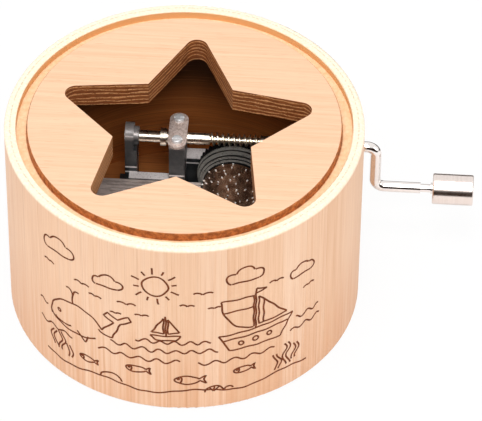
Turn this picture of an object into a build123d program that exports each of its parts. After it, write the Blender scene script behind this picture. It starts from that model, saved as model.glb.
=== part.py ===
from build123d import *
import os
from math import atan2, cos, degrees, pi, radians, sin, tan

# A pinned-cylinder music box turned by a hand crank, in a round wooden case.
# Millimetres. Origin at the centre of the underside, +X towards the crank,
# +Y towards the back of the case, +Z up.

# ---------------------------------------------------------------- fits
glued_gap = 0.02          # all round a glued or pressed piece
running_gap = 0.03        # radial, round a turning journal
face_gap = 0.05           # between faces that slide past each other

# ---------------------------------------------------------------- case
case_diameter = 80.0
case_height = 50.0
outer_ply = 1.3
inner_ply = 1.3
outer_edge_round = 0.6
inner_edge_round = 0.3
base_thickness = 6.0
lid_thickness = 6.0
lid_rebate_width = 2.4
lid_rebate_depth = 2.0
lid_edge_round = 0.35
shaft_hole_diameter = 6.0

# star window in the lid
star_border = 2.88            # from the points, before they are rounded, to the raised edge
star_notch_radius = 16.15
star_tip_round = 2.5
star_center_y = -1.05
star_top_angle = 87.9         # degrees from +X
star_points = 5

# ---------------------------------------------------------------- crankshaft
shaft_y = 21.8
shaft_diameter = 2.7
shaft_past_worm = 8.2
journal_diameter = 2.0
journal_spare = 0.2           # past the end post
tail_diameter = 1.6
tail_length = 5.9
tail_bore_spare = 0.2

# worm cut on the shaft, and its wheel
gear_module = 0.4
wheel_teeth = 40
worm_pitch_radius = 1.2
worm_addendum = 0.35
worm_dedendum = 0.42
worm_length = 12.0
worm_left_reach = 5.9         # from the drum's axis
thread_thickness = 0.46       # at the pitch line
tooth_thickness = 0.46        # of the wheel, at the pitch line
pressure_angle = 20.0
wheel_face_width = 2.4
wheel_floor_gap = 1.45        # from the wheel's lowest tooth to the base board
root_embed = 0.1              # how far the thread's foot runs into the core

# ring on the shaft
collar_diameter = 4.2
collar_thickness = 1.35
collar_gap = 0.85             # from the middle post

# ---------------------------------------------------------------- bedplate
plate_thickness = 2.0
plate_rim = 1.5               # right of the wheel's window
window_clearance = 0.35       # round the wheel's teeth
window_front_gap = 0.2        # behind the front wall

deck_width = 9.4
deck_setback = 1.17           # from the root of the longest tooth
deck_back_margin = 1.3        # past the comb
deck_front_margin = 0.65
deck_wall = 1.8
deck_top = 2.2

end_post_width = 2.0
end_post_head_radius = 2.55
end_post_head_rise = 0.75     # of the head's axis above the shaft's
end_post_boss_diameter = 4.4
end_post_boss_length = 1.15
end_post_margin = 1.85        # of the foot plate, left of the post
end_post_rib = 0.75           # right of the post, below its boss
end_post_rib_drop = 0.3       # from the boss to the rib's top
post_spacing = 10.35          # between the left faces of the two posts

mid_post_width = 3.6
mid_post_clearance = 2.95     # from the wheel's teeth
mid_post_land = 1.2           # past the strap's screws

# web between the posts, behind the comb
web_gap = 0.55                # from the comb
web_drop = 0.4                # below the comb's top
web_bite = 0.1                # into the end post's front

rear_wall_reach = 5.8         # right of the drum axis
rear_wall_thickness = 3.4
rear_wall_gap = 0.2           # behind the wheel
rear_wall_rise = 1.5          # above the drum axis

front_wall_width = 10.0
front_wall_thickness = 2.2
front_wall_gap = 0.6          # in front of the end cap
front_wall_drop = 2.6         # below the drum axis

boss_diameter = 4.8
boss_height = 3.0
left_boss_setback = 5.1       # right of the deck, and in front of its back edge
front_boss_setback = 3.4      # behind the foot plate's front edge

# ---------------------------------------------------------------- strap
strap_width = 4.3
strap_end = 2.3               # past the screws
strap_thickness = 0.6
strap_clearance = 0.35        # above the shaft
strap_screw_spacing = 7.2
strap_screw_diameter = 1.4
strap_screw_depth = 4.0
strap_head_diameter = 2.5
strap_head_height = 0.9

# ---------------------------------------------------------------- drum
drum_x = 10.0
drum_diameter = 13.8
drum_wall = 0.6
arbor_diameter = 1.6
arbor_spare = 0.3             # past the bearings at each end
spigot_length = 3.0
cap_flange = 0.8
cap_hub_diameter = 3.6
hub_play = 0.2
wheel_neck = 0.3              # between the rings and the wheel
first_track_inset = 0.4       # from the tube's rear end
last_track_inset = 1.0        # from its front end

# rings of the wheel's hub, from the drum backwards: length and radius
collar_rings = [(0.7, 7.0), (0.6, 7.45), (0.8, 7.9), (0.5, 7.55), (0.7, 8.4), (0.35, 7.5),
                (0.35, 8.6)]

pins_per_track = 12
pin_diameter = 0.36
pin_height = 0.45
pin_turn = 137.508            # degrees from each track's first pin to the next track's
pin_wander = 0.36             # of a pin from its even place, as a share of the spacing

# ---------------------------------------------------------------- comb
comb_teeth = 18
tooth_pitch = 1.05
tooth_gap = 0.22
tooth_depth = 0.8
comb_depth = 1.6
comb_setback = 0.5            # from the deck's left edge
longest_tooth = 22.6
shortest_tooth = 15.0
comb_margin = 0.75
tip_gap = 0.08
weight_count = 10
weight_length = 2.8
weight_setback = 0.8
weight_deepest = 1.8
weight_step = 0.13
comb_screw_diameter = 2.5
comb_screw_head = 4.6
comb_screw_head_height = 1.5
comb_screw_inset = 3.2        # from the comb's two long ends
comb_screw_length = 4.6

# ---------------------------------------------------------------- front bearing
bracket_thickness = 1.4
bracket_head_radius = 2.4
bracket_foot = 2.2            # of its lower edge above the base board
bracket_screw_diameter = 1.6
bracket_screw_inset = 2.0
bracket_head_diameter = 3.0
bracket_head_height = 1.0
bracket_screw_depth = 1.9

# ---------------------------------------------------------------- base screws
base_screw_diameter = 2.3
base_screw_head = 4.4
base_screw_head_height = 1.5
base_recess_diameter = 5.2
base_recess_depth = 2.4
base_screw_bite = 2.6         # into the bosses
base_hole_spare = 0.1

slot_width = 0.5
slot_depth = 0.45
head_round = 0.45             # of a screw head's height

# ---------------------------------------------------------------- crank
crank_diameter = 2.54
crank_wall_gap = 1.33         # between the case and the arm
crank_throw = 12.15
crank_bend_radius = 2.2
crank_reach = 10.6            # from the arm to the shoulder
neck_diameter = 1.9
neck_bare_length = 2.8        # between the shoulder and the knob
stop_diameter = 2.6
stop_thickness = 0.4
knob_diameter = 7.15
knob_length = 9.45
knob_edge_round = 0.35
knob_counterbore_diameter = 4.4
knob_counterbore_depth = 4.4
rivet_clearance = 0.4         # all round, in the counterbore
rivet_thickness = 0.9

# ---------------------------------------------------------------- worked out
case_radius = case_diameter / 2
ply_radius = case_radius - outer_ply
bore_radius = ply_radius - inner_ply
disc_radius = bore_radius - glued_gap
raised_radius = disc_radius - lid_rebate_width
star_corner_radius = raised_radius - star_border
floor_z = base_thickness
lid_underside_z = case_height - lid_thickness
shaft_radius = shaft_diameter / 2
journal_radius = journal_diameter / 2

# worm and wheel: the drum stands as high as its wheel needs, the shaft in mesh above it
worm_pitch = pi * gear_module
worm_crest_radius = worm_pitch_radius + worm_addendum
worm_root_radius = worm_pitch_radius - worm_dedendum
worm_start_x = drum_x - worm_left_reach
worm_end_x = worm_start_x + worm_length
shaft_end_x = worm_end_x + shaft_past_worm
wheel_pitch_radius = gear_module * wheel_teeth / 2
wheel_tip_radius = wheel_pitch_radius + worm_addendum
wheel_root_radius = wheel_pitch_radius - worm_dedendum
lead_angle = degrees(atan2(worm_pitch, 2 * pi * worm_pitch_radius))
drum_z = floor_z + wheel_floor_gap + wheel_tip_radius
shaft_height = drum_z + wheel_pitch_radius + worm_pitch_radius

# drum, from its wheel under the worm to its front end
rim_front_y = shaft_y - wheel_face_width / 2
rim_back_y = shaft_y + wheel_face_width / 2
drum_back_y = rim_front_y - wheel_neck - sum(length for length, radius in collar_rings)
drum_length = first_track_inset + (comb_teeth - 1) * tooth_pitch + last_track_inset
drum_front_y = drum_back_y - drum_length
cap_front_y = drum_front_y - cap_flange
drum_radius = drum_diameter / 2
drum_bore_radius = drum_radius - drum_wall
pin_tip_radius = drum_radius + pin_height
arbor_radius = arbor_diameter / 2
arbor_hole_radius = arbor_radius + running_gap

# walls and posts round the drum
rear_wall_front_y = rim_back_y + rear_wall_gap
rear_wall_right_x = drum_x + rear_wall_reach
bed_back_y = rear_wall_front_y + rear_wall_thickness
front_wall_back_y = cap_front_y - front_wall_gap
bed_front_y = front_wall_back_y - front_wall_thickness
front_wall_top_z = drum_z - front_wall_drop
front_wall_left_x = drum_x - front_wall_width / 2
front_wall_right_x = drum_x + front_wall_width / 2
window_left_x = drum_x - wheel_tip_radius - window_clearance
window_right_x = drum_x + wheel_tip_radius + window_clearance
window_front_y = front_wall_back_y + window_front_gap
bed_right_x = window_right_x + plate_rim
mid_post_right_x = drum_x - wheel_tip_radius - mid_post_clearance
mid_post_x = mid_post_right_x - mid_post_width
end_post_x = mid_post_x - post_spacing
bed_back_left_x = end_post_x - end_post_margin
strap_z = shaft_height + shaft_radius + strap_clearance
strap_x = mid_post_x + mid_post_width / 2
strap_length = strap_screw_spacing + 2 * strap_end
strap_screw_ys = [shaft_y - strap_screw_spacing / 2, shaft_y + strap_screw_spacing / 2]

# comb, its tips beside the pins, and the deck under it
comb_top_z = drum_z + tooth_depth / 2
comb_seat_z = comb_top_z - comb_depth
tooth_tip_x = drum_x - pin_tip_radius - tip_gap
first_tooth_y = drum_back_y - first_track_inset
last_tooth_y = first_tooth_y - (comb_teeth - 1) * tooth_pitch
comb_back_y = first_tooth_y + comb_margin
comb_front_y = last_tooth_y - comb_margin
deck_right_x = tooth_tip_x - longest_tooth - deck_setback
bed_left_x = deck_right_x - deck_width
deck_back_y = comb_back_y + deck_back_margin
deck_front_y = comb_front_y - deck_front_margin
comb_left_x = bed_left_x + comb_setback
comb_screw_x = (comb_left_x + deck_right_x) / 2
comb_screw_ys = [comb_front_y + comb_screw_inset, comb_back_y - comb_screw_inset]
boss_places = [(deck_right_x + left_boss_setback, deck_back_y - left_boss_setback),
               (deck_right_x + left_boss_setback, bed_front_y + front_boss_setback),
               (bed_right_x - boss_diameter / 2, bed_back_y - boss_diameter / 2)]

# front bearing, its screws halfway up the part of it that lies on the wall
bracket_back_y = bed_front_y
bracket_front_y = bracket_back_y - bracket_thickness
bracket_foot_z = floor_z + bracket_foot
bracket_screw_z = (bracket_foot_z + front_wall_top_z) / 2
bracket_screw_xs = [front_wall_left_x + bracket_screw_inset, front_wall_right_x - bracket_screw_inset]

# crank
crank_arm_x = case_radius + crank_wall_gap + crank_diameter / 2
crank_low_z = shaft_height - crank_throw
crank_shoulder_x = crank_arm_x + crank_reach
knob_start_x = crank_shoulder_x + neck_bare_length
knob_end_x = knob_start_x + knob_length
rivet_diameter = knob_counterbore_diameter - 2 * rivet_clearance
rivet_x = knob_end_x - knob_counterbore_depth + face_gap


# ---------------------------------------------------------------- plain forms
def block(x0, x1, y0, y1, z0, z1):
    """A box between two corners."""
    middle = Pos((x0 + x1) / 2, (y0 + y1) / 2, (z0 + z1) / 2)
    return middle * Box(x1 - x0, y1 - y0, z1 - z0)


def rod_x(radius, x0, x1, y=shaft_y, z=shaft_height):
    """A round bar along X, on the crankshaft's line unless told otherwise."""
    return Pos((x0 + x1) / 2, y, z) * Rot(0, 90, 0) * Cylinder(radius, x1 - x0)


def rod_y(radius, y0, y1, x=drum_x, z=drum_z):
    """A round bar along Y, on the drum's axis unless told otherwise."""
    return Pos(x, (y0 + y1) / 2, z) * Rot(90, 0, 0) * Cylinder(radius, y1 - y0)


def rod_z(radius, z0, z1, x=0.0, y=0.0):
    """An upright round bar."""
    return Pos(x, y, (z0 + z1) / 2) * Cylinder(radius, z1 - z0)


def screw_z(x, y, seat_z, tip_z, radius, head_radius, head_height):
    """A slotted pan-head screw that stands on seat_z, its shank reaching down to tip_z."""
    top_z = seat_z + head_height
    head = rod_z(head_radius, seat_z, top_z, x, y)
    head = fillet(head.edges().group_by(Axis.Z)[-1], head_height * head_round)
    slot = block(x - head_radius, x + head_radius, y - slot_width / 2, y + slot_width / 2,
                 top_z - slot_depth, top_z + slot_depth)
    return head - slot + rod_z(radius, tip_z, seat_z, x, y)


# ---------------------------------------------------------------- case
def make_outer_wall():
    """Outer ply of the case, with both outer edges eased and the hole for the crankshaft."""
    ring = rod_z(case_radius, 0, case_height) - rod_z(ply_radius, 0, case_height)
    outer_edges = ring.edges().filter_by(GeomType.CIRCLE).sort_by(SortBy.RADIUS)[-2:]
    ring = fillet(outer_edges, outer_edge_round)
    return ring - rod_x(shaft_hole_diameter / 2, 0, case_diameter)


def make_inner_wall():
    """Inner ply, glued inside the outer one, its top inner edge eased."""
    ring = rod_z(ply_radius - glued_gap, 0, case_height) - rod_z(bore_radius, 0, case_height)
    inner_edges = ring.edges().filter_by(GeomType.CIRCLE).sort_by(SortBy.RADIUS)[:2]
    ring = fillet(inner_edges.sort_by(Axis.Z)[-1], inner_edge_round)
    return ring - rod_x(shaft_hole_diameter / 2, 0, case_diameter)


def star_face():
    """The star outline, with rounded points and sharp notches, drawn at height 0."""
    corners = []
    for i in range(2 * star_points):
        angle = radians(star_top_angle + i * 180.0 / star_points)
        radius = star_notch_radius if i % 2 else star_corner_radius
        corners.append((radius * cos(angle), star_center_y + radius * sin(angle)))
    star = make_face(Polyline(*corners, close=True))
    reach = (star_corner_radius + star_notch_radius) / 2
    center = Vector(0, star_center_y, 0)
    points = [v for v in star.vertices() if (Vector(*v) - center).length > reach]
    return fillet(points, star_tip_round)


def make_lid():
    """Lid disc with a rebate round its top edge and the star cut right through."""
    raised = rod_z(raised_radius, lid_underside_z, case_height)
    raised = fillet(raised.edges().group_by(Axis.Z)[-1], lid_edge_round)
    lid = raised + rod_z(disc_radius, lid_underside_z, case_height - lid_rebate_depth)
    return lid - Pos(0, 0, lid_underside_z) * extrude(star_face(), lid_thickness)


def make_base_board():
    """Bottom disc, with stepped holes for the screws that hold the movement."""
    board = rod_z(disc_radius, 0, base_thickness)
    for x, y in boss_places:
        board -= rod_z(base_recess_diameter / 2, 0, base_recess_depth, x, y)
        board -= rod_z(base_screw_diameter / 2 + base_hole_spare, 0, base_thickness, x, y)
    return board


# ---------------------------------------------------------------- movement frame
def make_bedplate():
    """Cast frame: foot plate, comb deck, two crankshaft posts and the drum's two walls."""
    foot_top_z = floor_z + plate_thickness
    bed = block(bed_left_x, bed_right_x, bed_front_y, deck_back_y, floor_z, foot_top_z)
    bed += block(bed_back_left_x, bed_right_x, bed_front_y, bed_back_y, floor_z, foot_top_z)
    bed -= block(window_left_x, window_right_x, window_front_y, rear_wall_front_y,
                 floor_z, foot_top_z)

    # hollow deck under the comb
    bed += block(bed_left_x, deck_right_x, deck_front_y, deck_back_y, floor_z, comb_seat_z)
    bed -= block(bed_left_x + deck_wall, deck_right_x - deck_wall, deck_front_y + deck_wall,
                 deck_back_y - deck_wall, floor_z, comb_seat_z - deck_top)
    for y in comb_screw_ys:
        bed -= rod_z(comb_screw_diameter / 2 + glued_gap, floor_z, comb_seat_z, comb_screw_x, y)

    # end post, with a domed head and a short boss that the shaft's shoulder runs against
    post_right_x = end_post_x + end_post_width
    head_z = shaft_height + end_post_head_rise
    bed += block(end_post_x, post_right_x, shaft_y - end_post_head_radius,
                 shaft_y + end_post_head_radius, floor_z, head_z)
    bed += rod_x(end_post_head_radius, end_post_x, post_right_x, z=head_z)
    bed += rod_x(end_post_boss_diameter / 2, end_post_x, post_right_x + end_post_boss_length)
    bed += block(post_right_x, post_right_x + end_post_rib, shaft_y - end_post_head_radius,
                 shaft_y + end_post_head_radius, floor_z,
                 shaft_height - end_post_boss_diameter / 2 - end_post_rib_drop)
    bed -= rod_x(journal_radius + running_gap, end_post_x, post_right_x + end_post_boss_length)

    # middle post, with an open slot for the shaft under the strap
    slot_radius = shaft_radius + running_gap
    bed += block(mid_post_x, mid_post_right_x, strap_screw_ys[0] - mid_post_land,
                 strap_screw_ys[1] + mid_post_land, floor_z, strap_z)
    bed -= rod_x(slot_radius, mid_post_x, mid_post_right_x)
    bed -= block(mid_post_x, mid_post_right_x, shaft_y - slot_radius, shaft_y + slot_radius,
                 shaft_height, strap_z)
    for y in strap_screw_ys:
        bed -= rod_z(strap_screw_diameter / 2 + glued_gap, strap_z - strap_screw_depth,
                     strap_z, strap_x, y)

    # web between the posts
    bed += block(end_post_x + end_post_width / 2, mid_post_right_x, comb_back_y + web_gap,
                 shaft_y - end_post_head_radius + web_bite, floor_z, comb_top_z - web_drop)

    # rear and front walls that carry the drum
    bed += block(mid_post_right_x, rear_wall_right_x, rear_wall_front_y, bed_back_y,
                 floor_z, drum_z + rear_wall_rise)
    bed -= rod_y(arbor_hole_radius, rear_wall_front_y, bed_back_y)
    bed += block(front_wall_left_x, front_wall_right_x, bed_front_y, front_wall_back_y,
                 floor_z, front_wall_top_z)
    for x in bracket_screw_xs:
        bed -= rod_y(bracket_screw_diameter / 2 + glued_gap, bed_front_y, front_wall_back_y,
                     x, bracket_screw_z)

    # bosses for the screws from below
    for x, y in boss_places:
        bed += rod_z(boss_diameter / 2, floor_z, floor_z + boss_height, x, y)
    for x, y in boss_places:
        bed -= rod_z(base_screw_diameter / 2 + glued_gap, floor_z,
                     floor_z + base_screw_bite + base_hole_spare, x, y)
    return bed


def make_retaining_plate():
    """Strap with round ends that keeps the shaft down in its slot."""
    outline = SlotOverall(strap_length, strap_width, rotation=90)
    strap = Pos(strap_x, shaft_y, strap_z) * extrude(outline, strap_thickness)
    for y in strap_screw_ys:
        strap -= rod_z(strap_screw_diameter / 2 + glued_gap, strap_z, strap_z + strap_thickness,
                       strap_x, y)
    return strap


def make_retaining_plate_screws():
    """The strap's two screws."""
    seat_z = strap_z + strap_thickness
    tip_z = strap_z - strap_screw_depth + base_hole_spare
    return [screw_z(strap_x, y, seat_z, tip_z, strap_screw_diameter / 2,
                    strap_head_diameter / 2, strap_head_height) for y in strap_screw_ys]


def make_mounting_screws():
    """Screws from below, their heads sunk in the base board's recesses."""
    screws = []
    for x, y in boss_places:
        head = rod_z(base_screw_head / 2, base_recess_depth - base_screw_head_height,
                     base_recess_depth, x, y)
        head = fillet(head.edges().group_by(Axis.Z)[0], base_screw_head_height * head_round)
        head_z = base_recess_depth - base_screw_head_height
        head -= block(x - base_screw_head / 2, x + base_screw_head / 2, y - slot_width / 2,
                      y + slot_width / 2, head_z - slot_depth, head_z + slot_depth)
        screws.append(head + rod_z(base_screw_diameter / 2, base_recess_depth,
                                   floor_z + base_screw_bite, x, y))
    return screws


def make_front_bearing():
    """Flat bracket on the front wall, with a domed head round the drum's arbor."""
    plate = block(front_wall_left_x, front_wall_right_x, bracket_front_y, bracket_back_y,
                  bracket_foot_z, front_wall_top_z)
    plate += block(drum_x - bracket_head_radius, drum_x + bracket_head_radius,
                   bracket_front_y, bracket_back_y, bracket_foot_z, drum_z)
    plate += rod_y(bracket_head_radius, bracket_front_y, bracket_back_y)
    plate -= rod_y(arbor_hole_radius, bracket_front_y, bracket_back_y)
    for x in bracket_screw_xs:
        plate -= rod_y(bracket_screw_diameter / 2 + glued_gap, bracket_front_y, bracket_back_y,
                       x, bracket_screw_z)
    return plate


def make_front_bearing_screws():
    """Two screws that go in from the front."""
    screws = []
    for x in bracket_screw_xs:
        head = rod_y(bracket_head_diameter / 2, bracket_front_y - bracket_head_height,
                     bracket_front_y, x, bracket_screw_z)
        head = fillet(head.edges().group_by(Axis.Y)[0], bracket_head_height * head_round)
        front_y = bracket_front_y - bracket_head_height
        head -= block(x - slot_width / 2, x + slot_width / 2, front_y - slot_depth,
                      front_y + slot_depth, bracket_screw_z - bracket_head_diameter / 2,
                      bracket_screw_z + bracket_head_diameter / 2)
        screws.append(head + rod_y(bracket_screw_diameter / 2, bracket_front_y,
                                   bracket_back_y + bracket_screw_depth, x, bracket_screw_z))
    return screws


# ---------------------------------------------------------------- crankshaft
def worm_thread():
    """Right-hand thread, its section a trapezoid swept along a helix, cut square at both ends."""
    crest = thread_thickness / 2 - worm_addendum * tan(radians(pressure_angle))
    foot_depth = worm_dedendum + root_embed
    foot = thread_thickness / 2 + foot_depth * tan(radians(pressure_angle))
    run = worm_length + 2 * worm_pitch
    line = Helix(worm_pitch, run, worm_pitch_radius)
    section = Plane(origin=line @ 0, x_dir=(1, 0, 0), z_dir=line % 0)
    outline = make_face(section * Polyline((worm_addendum, -crest), (worm_addendum, crest),
                                           (-foot_depth, foot), (-foot_depth, -foot), close=True))
    thread = sweep(outline, path=line, is_frenet=True)
    thread = Pos(worm_start_x - worm_pitch, shaft_y, shaft_height) * Rot(0, 90, 0) * thread
    return thread & rod_x(2 * worm_crest_radius, worm_start_x, worm_end_x)


def make_crankshaft():
    """Shaft with its thin journal on the left, the worm, and a bore for the crank's tail."""
    shoulder_x = end_post_x + end_post_width + end_post_boss_length + face_gap
    shaft = rod_x(journal_radius, end_post_x - journal_spare, shoulder_x)
    shaft += rod_x(shaft_radius, shoulder_x, worm_start_x)
    shaft += rod_x(worm_root_radius, worm_start_x, worm_end_x)
    shaft += rod_x(shaft_radius, worm_end_x, shaft_end_x)
    shaft -= rod_x(tail_diameter / 2 + glued_gap, shaft_end_x - tail_length - tail_bore_spare,
                   shaft_end_x)
    return shaft + worm_thread()


def make_shaft_collar():
    """Ring pressed on the shaft."""
    right_x = mid_post_x - collar_gap
    collar = rod_x(collar_diameter / 2, right_x - collar_thickness, right_x)
    return collar - rod_x(shaft_radius, right_x - collar_thickness, right_x)


# ---------------------------------------------------------------- drum
def wheel_rim():
    """Toothed rim of the worm wheel, its teeth leaning by the worm's lead angle."""
    tooth_angle = tooth_thickness / wheel_pitch_radius / 2
    tip_half = tooth_angle - worm_addendum * tan(radians(pressure_angle)) / wheel_tip_radius
    root_half = tooth_angle + worm_dedendum * tan(radians(pressure_angle)) / wheel_root_radius
    corners = []
    for i in range(wheel_teeth):
        middle = 2 * pi * i / wheel_teeth
        for radius, offset in ((wheel_root_radius, -root_half), (wheel_tip_radius, -tip_half),
                               (wheel_tip_radius, tip_half), (wheel_root_radius, root_half)):
            corners.append((radius * cos(middle + offset), radius * sin(middle + offset)))
    outline = Polyline(*corners, close=True).wire()
    lean = degrees(wheel_face_width * tan(radians(lead_angle)) / wheel_pitch_radius)
    rim = Solid.extrude_linear_with_rotation(outline, (0, 0, 0), (0, 0, wheel_face_width), lean)
    return rim, lean


def make_drum_gear():
    """Worm wheel in one piece with its ringed hub and the spigot that holds the drum."""
    rim, lean = wheel_rim()
    gear = Pos(drum_x, rim_front_y, drum_z) * Rot(-90, 0, 0) * Rot(0, 0, mesh_angle(lean)) * rim
    ring_y = drum_back_y
    for length, radius in collar_rings:
        gear += rod_y(radius, ring_y, ring_y + length)
        ring_y += length
    gear += rod_y(wheel_root_radius - root_embed, ring_y, rim_front_y)
    gear += rod_y(drum_bore_radius - glued_gap, drum_back_y - spigot_length, drum_back_y)
    return gear - rod_y(arbor_radius + glued_gap, drum_back_y - spigot_length, bed_back_y)


def mesh_angle(lean):
    """Turn of the wheel that centres a gap between teeth on the worm's lowest thread turn."""
    thread_x = (worm_start_x - drum_x) % worm_pitch
    thread_angle = degrees(thread_x / wheel_pitch_radius)
    half_pitch_angle = 180.0 / wheel_teeth
    return thread_angle - half_pitch_angle - 90.0 - lean / 2


def make_drum_tube():
    """Thin tube that carries the pins."""
    tube = rod_y(drum_radius, drum_front_y, drum_back_y)
    return tube - rod_y(drum_bore_radius, drum_front_y, drum_back_y)


def make_drum_pins():
    """Pins that stand on the tube, one track under each tooth of the comb."""
    pins = []
    for track in range(comb_teeth):
        y = first_tooth_y - track * tooth_pitch
        for i in range(pins_per_track):
            wander = pin_wander * sin(7.0 * i + 3.0 * track)
            angle = track * pin_turn + (i + wander) * 360.0 / pins_per_track
            pin = Pos(0, 0, drum_radius + pin_height / 2) * Cylinder(pin_diameter / 2, pin_height)
            pins.append(Pos(drum_x, y, drum_z) * Rot(0, angle, 0) * pin)
    return pins


def make_drum_end_cap():
    """Plug in the tube's front end, with a hub that runs up to the front bearing."""
    cap = rod_y(drum_radius, cap_front_y, drum_front_y)
    cap += rod_y(drum_bore_radius - glued_gap, drum_front_y, drum_front_y + spigot_length)
    cap += rod_y(cap_hub_diameter / 2, bracket_back_y + hub_play, drum_front_y)
    return cap - rod_y(arbor_radius + glued_gap, bracket_back_y, drum_front_y + spigot_length)


def make_drum_arbor():
    """Axle through the whole drum, running in the rear wall and the front bracket."""
    return rod_y(arbor_radius, bracket_front_y - arbor_spare, bed_back_y + arbor_spare)


# ---------------------------------------------------------------- comb
def tooth_root_x(i):
    """Where tooth i leaves the comb's body: the teeth get shorter towards the front."""
    length = longest_tooth + (shortest_tooth - longest_tooth) * i / (comb_teeth - 1)
    return tooth_tip_x - length


def make_comb():
    """Comb in one piece: a thick body and thin teeth that reach to the pins."""
    body = Polyline((comb_left_x, comb_front_y), (tooth_root_x(comb_teeth - 1), comb_front_y),
                    (tooth_root_x(0), comb_back_y), (comb_left_x, comb_back_y), close=True)
    comb = Pos(0, 0, comb_seat_z) * extrude(make_face(body), comb_depth)
    for i in range(comb_teeth):
        y = first_tooth_y - i * tooth_pitch
        half = (tooth_pitch - tooth_gap) / 2
        comb += block(tooth_root_x(i) - comb_depth, tooth_tip_x, y - half, y + half,
                      comb_top_z - tooth_depth, comb_top_z)
    for y in comb_screw_ys:
        comb -= rod_z(comb_screw_diameter / 2 + glued_gap, comb_seat_z, comb_top_z, comb_screw_x, y)
    return comb


def make_comb_weights():
    """Weights under the tips of the long teeth, the deepest at the back."""
    weights = []
    for i in range(weight_count):
        y = first_tooth_y - i * tooth_pitch
        half = (tooth_pitch - tooth_gap) / 2
        depth = weight_deepest - i * weight_step
        right_x = tooth_tip_x - weight_setback
        top_z = comb_top_z - tooth_depth
        weights.append(block(right_x - weight_length, right_x, y - half, y + half,
                             top_z - depth, top_z))
    return weights


def make_comb_screws():
    """Two screws that clamp the comb to the deck."""
    return [screw_z(comb_screw_x, y, comb_top_z, comb_top_z - comb_screw_length,
                    comb_screw_diameter / 2, comb_screw_head / 2, comb_screw_head_height)
            for y in comb_screw_ys]


# ---------------------------------------------------------------- crank
def make_crank_rod():
    """Bent rod: a tail in the shaft, out through the case, down, and out again to the knob."""
    start = (shaft_end_x, shaft_y, shaft_height)
    top = (crank_arm_x, shaft_y, shaft_height)
    bottom = (crank_arm_x, shaft_y, crank_low_z)
    end = (crank_shoulder_x, shaft_y, crank_low_z)
    route = FilletPolyline(start, top, bottom, end, radius=crank_bend_radius)
    section = Plane(origin=start, z_dir=(1, 0, 0)) * Circle(crank_diameter / 2)
    rod = sweep(section, path=route)
    rod += rod_x(tail_diameter / 2, shaft_end_x - tail_length, shaft_end_x)
    rod += rod_x(neck_diameter / 2, crank_shoulder_x, rivet_x + rivet_thickness, z=crank_low_z)
    stop_end_x = knob_start_x - face_gap
    rod += rod_x(stop_diameter / 2, stop_end_x - stop_thickness, stop_end_x, z=crank_low_z)
    return rod


def make_crank_knob():
    """Turned knob, free on the neck, its outer end bored wider for the rivet."""
    knob = rod_x(knob_diameter / 2, knob_start_x, knob_end_x, z=crank_low_z)
    knob = fillet(knob.edges().filter_by(GeomType.CIRCLE), knob_edge_round)
    knob -= rod_x(neck_diameter / 2 + running_gap, knob_start_x, knob_end_x, z=crank_low_z)
    floor_x = knob_end_x - knob_counterbore_depth
    return knob - rod_x(knob_counterbore_diameter / 2, floor_x, knob_end_x, z=crank_low_z)


def make_knob_rivet():
    """Head on the end of the neck that keeps the knob on."""
    rivet = rod_x(rivet_diameter / 2, rivet_x, rivet_x + rivet_thickness, z=crank_low_z)
    return rivet - rod_x(neck_diameter / 2, rivet_x, rivet_x + rivet_thickness, z=crank_low_z)


# ---------------------------------------------------------------- files
nodes = {
    "outer_wall": make_outer_wall(),
    "inner_wall": make_inner_wall(),
    "lid": make_lid(),
    "base_board": make_base_board(),
    "mounting_screws": make_mounting_screws(),
    "bedplate": make_bedplate(),
    "retaining_plate": make_retaining_plate(),
    "retaining_plate_screws": make_retaining_plate_screws(),
    "front_bearing": make_front_bearing(),
    "front_bearing_screws": make_front_bearing_screws(),
    "comb": make_comb(),
    "comb_weights": make_comb_weights(),
    "comb_screws": make_comb_screws(),
    "crankshaft": make_crankshaft(),
    "shaft_collar": make_shaft_collar(),
    "crank_rod": make_crank_rod(),
    "knob_rivet": make_knob_rivet(),
    "crank_knob": make_crank_knob(),
    "drum_gear": make_drum_gear(),
    "drum_tube": make_drum_tube(),
    "drum_pins": make_drum_pins(),
    "drum_end_cap": make_drum_end_cap(),
    "drum_arbor": make_drum_arbor(),
}

os.makedirs("parts", exist_ok=True)
for name, shape in nodes.items():
    solids = shape if isinstance(shape, list) else [shape]
    export_step(Compound(children=[s for piece in solids for s in piece.solids()]),
                f"parts/{name}.step")
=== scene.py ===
"""A hand-crank music box in a round wooden case: its finishes, the line picture burnt on its
wall, and a plain studio. Lengths are in metres, and in millimetres where a name ends in MM. A
finish works in millimetres from the middle of the case's underside."""

import bpy
import numpy as np
from mathutils import Matrix, Vector


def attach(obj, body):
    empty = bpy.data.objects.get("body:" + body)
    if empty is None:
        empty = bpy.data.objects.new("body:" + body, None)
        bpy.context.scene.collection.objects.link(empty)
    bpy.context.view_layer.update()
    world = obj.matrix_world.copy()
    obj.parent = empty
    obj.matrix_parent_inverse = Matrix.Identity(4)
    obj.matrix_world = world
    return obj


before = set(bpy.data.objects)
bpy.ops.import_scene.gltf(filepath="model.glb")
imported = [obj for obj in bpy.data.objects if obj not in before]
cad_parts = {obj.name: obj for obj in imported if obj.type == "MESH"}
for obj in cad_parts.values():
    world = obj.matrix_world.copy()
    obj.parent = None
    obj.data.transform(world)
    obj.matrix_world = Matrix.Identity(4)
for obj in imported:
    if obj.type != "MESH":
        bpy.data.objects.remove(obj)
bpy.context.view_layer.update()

MM = 0.001


# ------------------------------------------------------------------ shader tools
def srgb(red, green, blue):
    """Linear colour of a colour given as 0 to 255 on a screen."""
    screen = np.array([red, green, blue]) / 255.0
    linear = np.where(screen <= 0.04045, screen / 12.92, ((screen + 0.055) / 1.055) ** 2.4)
    return (*[float(c) for c in linear], 1.0)


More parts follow.
